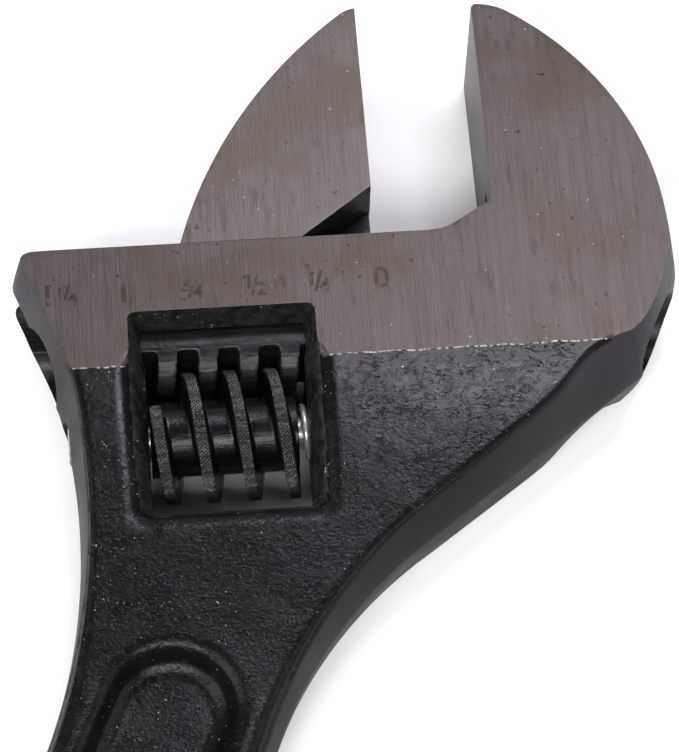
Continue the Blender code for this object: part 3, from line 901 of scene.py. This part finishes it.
def forged_wrinkles(shader):
    """Short creases in the skin: 0 in a crease, 1 away from them."""
    crease = shader.noise((500.0, 900.0, 650.0), 5.0, 0.6, 0.4)
    away = shader.math("ABSOLUTE", shader.math("SUBTRACT", crease, 0.5), 0.0)
    thin = shader.ramp(away, 0.001, 0.012)
    patchy = shader.ramp(shader.noise(330.0, 3.0), 0.44, 0.52, 1.0, 0.0)
    return shader.math("MAXIMUM", thin, patchy)


def forged_roughness(shader):
    """How coarse the skin is: smooth beside the ground face, grainy from there down."""
    return shader.ramp(shader.axis("Y"), -0.034, -0.014, 1.0, 0.28)


def forged_colour(shader):
    """Black phosphate, with painted shade in its creases and a few bright specks as painted glints of tiny
    facets.
    """
    broad = shader.noise(160.0, 4.0)
    colour = shader.mix(shader.ramp(broad, 0.35, 0.7), (0.0024, 0.0022, 0.0028), (0.0046, 0.0043, 0.0054))
    # Painted shade: the skin is painted darker in its creases.
    colour = shader.mix(forged_wrinkles(shader), (0.0006, 0.0006, 0.0006), colour)
    # Painted glints: a few bright specks for tiny facets that catch the light.
    painted_glint = shader.ramp(shader.noise(3800.0, 2.0), 0.70, 0.76)
    painted_glint = shader.math("MULTIPLY", painted_glint, shader.ramp(shader.noise(120.0), 0.4, 0.6))
    return shader.mix(painted_glint, colour, (0.35, 0.35, 0.35))


def forged_height_map(shader):
    """The skin's relief in millimetres."""
    grain = shader.math("MULTIPLY", shader.noise((2600.0, 3400.0, 3000.0), 3.0, 0.6), 0.038)
    pits = shader.math("MULTIPLY", shader.ramp(shader.noise(1500.0, 3.0, 0.6), 0.34, 0.46), 0.022)
    waves = shader.math("MULTIPLY", shader.noise(420.0, 2.0), 0.030)
    skin = shader.math("MULTIPLY", shader.math("ADD", grain, pits), forged_roughness(shader))
    creases = shader.math("MULTIPLY", forged_wrinkles(shader), 0.025)
    relief = shader.math("ADD", shader.math("ADD", skin, waves), creases)
    return shader.math("MULTIPLY", relief, shader.facing())


def forged_material():
    shader = Shader("forged_black", 0.25, 0.0)
    shader.principled.inputs["IOR"].default_value = SKIN_IOR
    shader.bump(forged_height_map(shader), 1.0, MM)
    roughness = shader.ramp(shader.noise(900.0), 0.3, 0.7, 0.20, 0.30)
    return shader.finish(forged_colour(shader), roughness)


def side_material():
    """The trimmed sides: smooth and satin, with faint marks along the thickness, painted sheen towards the
    head and a few painted glints.
    """
    shader = Shader("trimmed_side", 0.42, 0.0)
    shader.principled.inputs["IOR"].default_value = SIDE_IOR
    broad = shader.noise(140.0, 3.0)
    colour = shader.mix(shader.ramp(broad, 0.35, 0.7), (0.004, 0.0038, 0.0043), (0.009, 0.0085, 0.0095))
    # Painted sheen: the sides are painted lighter towards the head, for the light they reflect there.
    head = shader.ramp(shader.axis("Y"), -0.030, -0.008)
    colour = shader.mix(head, colour, (0.030, 0.028, 0.032))
    # Painted glints: a few bright specks on the sides.
    painted_glint = shader.ramp(shader.noise(2600.0, 2.0), 0.73, 0.77)
    colour = shader.mix(painted_glint, colour, (0.10, 0.10, 0.10))
    marks = shader.noise((700.0, 700.0, 160.0), 3.0)
    marks = shader.math("MULTIPLY", marks, 0.03)
    fine = shader.math("MULTIPLY", shader.noise(1900.0, 2.0), 0.008)
    shader.bump(shader.math("ADD", marks, fine), 1.0, MM)
    return shader.finish(colour, shader.ramp(broad, 0.3, 0.7, 0.36, 0.48))


def window_material():
    """The window's forged walls: black and grainy, with silver specks in patches as painted glints."""
    shader = Shader("window_wall", 0.4, 0.0)
    coarse = shader.noise(900.0, 4.0, 0.65)
    colour = shader.mix(shader.ramp(coarse, 0.3, 0.7), (0.003, 0.003, 0.0033), (0.014, 0.0135, 0.0145))
    # Painted glints: silver specks, in patches, for grains that catch the light.
    specks = shader.ramp(shader.noise(2100.0, 2.0, 0.6), 0.66, 0.73)
    glint_patches = shader.ramp(shader.noise(260.0, 2.0), 0.45, 0.65)
    colour = shader.mix(shader.math("MULTIPLY", specks, glint_patches), colour, (0.30, 0.30, 0.31))
    shader.bump(coarse, 1.0, 0.00010)
    return shader.finish(colour, shader.ramp(coarse, 0.3, 0.7, 0.32, 0.5))


def ground_colour(shader, painted_light_scale=1.0):
    """Ground steel: fine grain along the jaws, brown staining, pits and rust specks; the second argument
    scales every colour as painted light, for how brightly a piece is lit.
    """
    def tone(*colour):
        return tuple(part * painted_light_scale * tint for part, tint in zip(colour, STEEL_TINT))

    grain = shader.noise((7000.0, 200.0, 7000.0), 3.0, 0.65)
    streak = shader.noise((1500.0, 60.0, 1500.0), 3.0, 0.55)
    stain = shader.noise(75.0, 5.0, 0.6)
    colour = shader.mix(shader.ramp(grain, 0.28, 0.72), tone(0.062, 0.051, 0.050), tone(0.118, 0.100, 0.098))
    colour = shader.mix(shader.ramp(streak, 0.3, 0.72, 0.0, 0.5), colour, tone(0.122, 0.105, 0.102))
    colour = shader.mix(shader.ramp(stain, 0.46, 0.62, 0.0, 0.8), colour, tone(0.082, 0.066, 0.052))
    smudge = shader.noise((900.0, 240.0, 900.0), 4.0, 0.6)
    colour = shader.mix(shader.ramp(smudge, 0.56, 0.74, 0.0, 0.6), colour, tone(0.050, 0.038, 0.032))
    specks = shader.ramp(shader.noise(1300.0, 2.0, 0.5), 0.69, 0.74, 0.0, 0.8)
    colour = shader.mix(specks, colour, tone(0.035, 0.024, 0.018))
    bright = shader.ramp(shader.noise(1700.0, 2.0, 0.5), 0.74, 0.78, 0.0, 0.7)
    colour = shader.mix(bright, colour, tone(0.42, 0.40, 0.38))
    return colour, grain


def jaw_material():
    shader = Shader("ground_jaw", 0.4, 0.85)
    # Painted light: the jaw's copy of the steel is painted 1.3 times lighter, for the stronger light on it.
    colour, grain = ground_colour(shader, 1.3)
    shader.bump(grain, 1.0, 0.00002)
    return shader.finish(colour, shader.ramp(grain, 0.2, 0.8, 0.36, 0.50))


def ground_material():
    """The ground face, with the forged skin below the line where the grinding stops."""
    shader = Shader("ground_steel", 0.4, 0.8)
    shader.principled.inputs["IOR"].default_value = SKIN_IOR
    colour, grain = ground_colour(shader)
    line = shader.math("ADD", shader.axis("Y"), shader.math("MULTIPLY", shader.noise(420.0, 3.0), 0.0007))
    edge = (-FACE_SLOPE_START + 0.35) * MM
    forged = shader.ramp(line, edge - 0.00004, edge + 0.00004, 1.0, 0.0)
    # Painted highlight: a broken bright line along the grinding line, for the burr there catching the light.
    broken = shader.ramp(shader.noise((2600.0, 300.0, 300.0), 3.0), 0.42, 0.60)
    near_line = shader.ramp(shader.math("ABSOLUTE", shader.math("SUBTRACT", line, edge), 0.0),
                            0.00003, 0.00011, 1.0, 0.0)
    burr_highlight = shader.math("MULTIPLY", broken, near_line)
    colour = shader.mix(forged, colour, forged_colour(shader))
    colour = shader.mix(burr_highlight, colour, (0.40, 0.385, 0.37))
    grinding = shader.math("MULTIPLY", shader.math("SUBTRACT", 1.0, forged), grain)
    grinding = shader.math("MULTIPLY", grinding, 0.020)
    skin = shader.math("MULTIPLY", forged_height_map(shader), forged)
    shader.bump(shader.math("ADD", grinding, skin), 1.0, MM)
    metallic = shader.ramp(forged, 0.0, 1.0, 0.85, 0.0)
    roughness = shader.mix_value(forged, shader.ramp(grain, 0.2, 0.8, 0.36, 0.50), 0.25)
    return shader.finish(colour, roughness, metallic)


def machined_material(name, dark, light, roughness):
    shader = Shader(name, roughness, 0.7)
    turned = shader.noise((300.0, 2600.0, 2600.0), 3.0, 0.6)
    patch = shader.noise(350.0, 4.0)
    colour = shader.mix(shader.ramp(turned, 0.3, 0.7), dark, light)
    colour = shader.mix(shader.ramp(patch, 0.5, 0.75, 0.0, 0.6), colour, dark)
    shader.bump(shader.math("ADD", turned, shader.noise(1800.0, 3.0)), 0.35, 0.0001)
    return shader.finish(colour, shader.ramp(patch, 0.3, 0.7, roughness - 0.08, roughness + 0.08))


def mark_material():
    """Etched marks, worn to the steel's own colour in places."""
    shader = Shader("etched_marks", 0.5, 0.5)
    colour, grain = ground_colour(shader)
    worn = shader.ramp(shader.noise(900.0, 3.0), 0.52, 0.68)
    return shader.finish(shader.mix(worn, (0.022, 0.013, 0.008), colour))


# ---------------------------------------------------------------- stage
CAMERA_PLACE = (-34.92, -182.89, 317.3)
CAMERA_TURNS = (-0.0591, 0.5032, -0.0852)      # about v, u and z
CAMERA_LENS = 167.5
SKY = 0.10                      # strength of the even light from all round
WHITE = (1.0, 1.0, 1.0)
# name, place, target, size, power in watts and colour
LIGHTS = (
    ("front_box", (-0.1, -0.78, 0.88), (-0.02, -0.03, 0.0), (1.3, 0.3), 19.0, WHITE),
    ("key_box", (0.075, 0.17, 0.40), (0.01, -0.02, 0.0), (0.18, 0.08), 1.1, (0.95, 0.92, 1.0)),
    ("back_box", (-0.05, 0.75, 0.55), (-0.02, 0.0, 0.0), (1.0, 0.5), 1.4, WHITE),
    ("left_box", (-0.8, -0.1, 0.7), (-0.02, -0.03, 0.0), (0.8, 0.8), 7.5, WHITE),
    ("right_box", (0.85, -0.05, 0.6), (-0.02, -0.02, 0.0), (0.7, 0.7), 2.5, WHITE),
)


def set_camera():
    data = bpy.data.cameras.new("camera")
    data.lens = CAMERA_LENS
    data.sensor_width = 36.0
    data.clip_start = 0.01
    camera = bpy.data.objects.new("camera", data)
    bpy.context.scene.collection.objects.link(camera)
    turn = (Matrix.Rotation(CAMERA_TURNS[0], 4, "Y") @ Matrix.Rotation(CAMERA_TURNS[1], 4, "X")
            @ Matrix.Rotation(CAMERA_TURNS[2], 4, "Z"))
    camera.matrix_world = HEAD_MATRIX @ Matrix.Translation(Vector(CAMERA_PLACE) * MM) @ turn
    bpy.context.scene.camera = camera


def area_light(name, place, target, size, power, colour):
    """A soft box at a place in the head's directions, in metres, facing a target."""
    data = bpy.data.lights.new(name, "AREA")
    data.shape = "RECTANGLE"
    data.size, data.size_y = size
    data.energy = power
    data.color = colour
    light = bpy.data.objects.new(name, data)
    bpy.context.scene.collection.objects.link(light)
    start, end = HEAD_MATRIX @ Vector(place), HEAD_MATRIX @ Vector(target)
    light.location = start
    light.rotation_euler = (end - start).to_track_quat("-Z", "Y").to_euler()


def set_floor():
    """A wide, plain, pale floor just under the wrench."""
    side = 3.0
    mesh = bpy.data.meshes.new("floor")
    mesh.from_pydata([(-side, -side, 0), (side, -side, 0), (side, side, 0), (-side, side, 0)], [],
                     [(0, 1, 2, 3)])
    floor = bpy.data.objects.new("floor", mesh)
    floor.location.z = -0.00002
    bpy.context.scene.collection.objects.link(floor)
    mat = bpy.data.materials.new("pale_floor")
    mat.use_nodes = True
    shader = mat.node_tree.nodes["Principled BSDF"]
    shader.inputs["Base Color"].default_value = (0.85, 0.85, 0.85, 1.0)
    shader.inputs["Roughness"].default_value = 0.9
    shader.inputs["Specular IOR Level"].default_value = 0.1
    mesh.materials.append(mat)




def set_stage():
    scene = bpy.context.scene
    scene.view_settings.view_transform = "Standard"
    scene.view_settings.look = "None"
    set_floor()
    world = bpy.data.worlds.new("studio")
    world.use_nodes = True
    world.node_tree.nodes["Background"].inputs["Color"].default_value = (1.0, 1.0, 1.0, 1.0)
    world.node_tree.nodes["Background"].inputs["Strength"].default_value = SKY
    scene.world = world
    for light in LIGHTS:
        area_light(*light)


# ---------------------------------------------------------------- build
forged = forged_material()
ground = ground_material()
machined = machined_material("machined_black", (0.006, 0.006, 0.0065), (0.020, 0.0195, 0.021), 0.38)
rack_steel = machined_material("rack_black", (0.006, 0.006, 0.0065), (0.024, 0.023, 0.025), 0.42)
worm_core = machined_material("worm_black", (0.004, 0.004, 0.0045), (0.010, 0.0097, 0.0108), 0.30)
worm_crest = machined_material("worm_knurl", (0.020, 0.020, 0.021), (0.075, 0.073, 0.075), 0.38)
pin_steel = machined_material("pin_steel", (0.30, 0.29, 0.28), (0.62, 0.61, 0.59), 0.26)
spring_steel = machined_material("spring_steel", (0.45, 0.45, 0.47), (0.78, 0.78, 0.80), 0.2)

pieces = [
    (make_body([forged, ground, machined, side_material(), window_material()]),
     "wrench_body", "forged_black", "body"),
    (make_jaw([rack_steel, jaw_material(), rack_steel]), "sliding_jaw", "ground_steel", "movable_jaw"),
    (make_worm([worm_core, worm_crest]), "adjusting_worm", "worm_black", "worm"),
    (make_pin([pin_steel]), "wrench_body", "pin_steel", "worm_pin"),
    (make_spring(spring_steel), "wrench_body", "spring_steel", "worm_spring"),
]
for piece, body, slot_name, node in pieces:
    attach(piece, body)
    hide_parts(node)
marks = make_marks(mark_material())
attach(marks, "wrench_body")

set_camera()
set_stage()
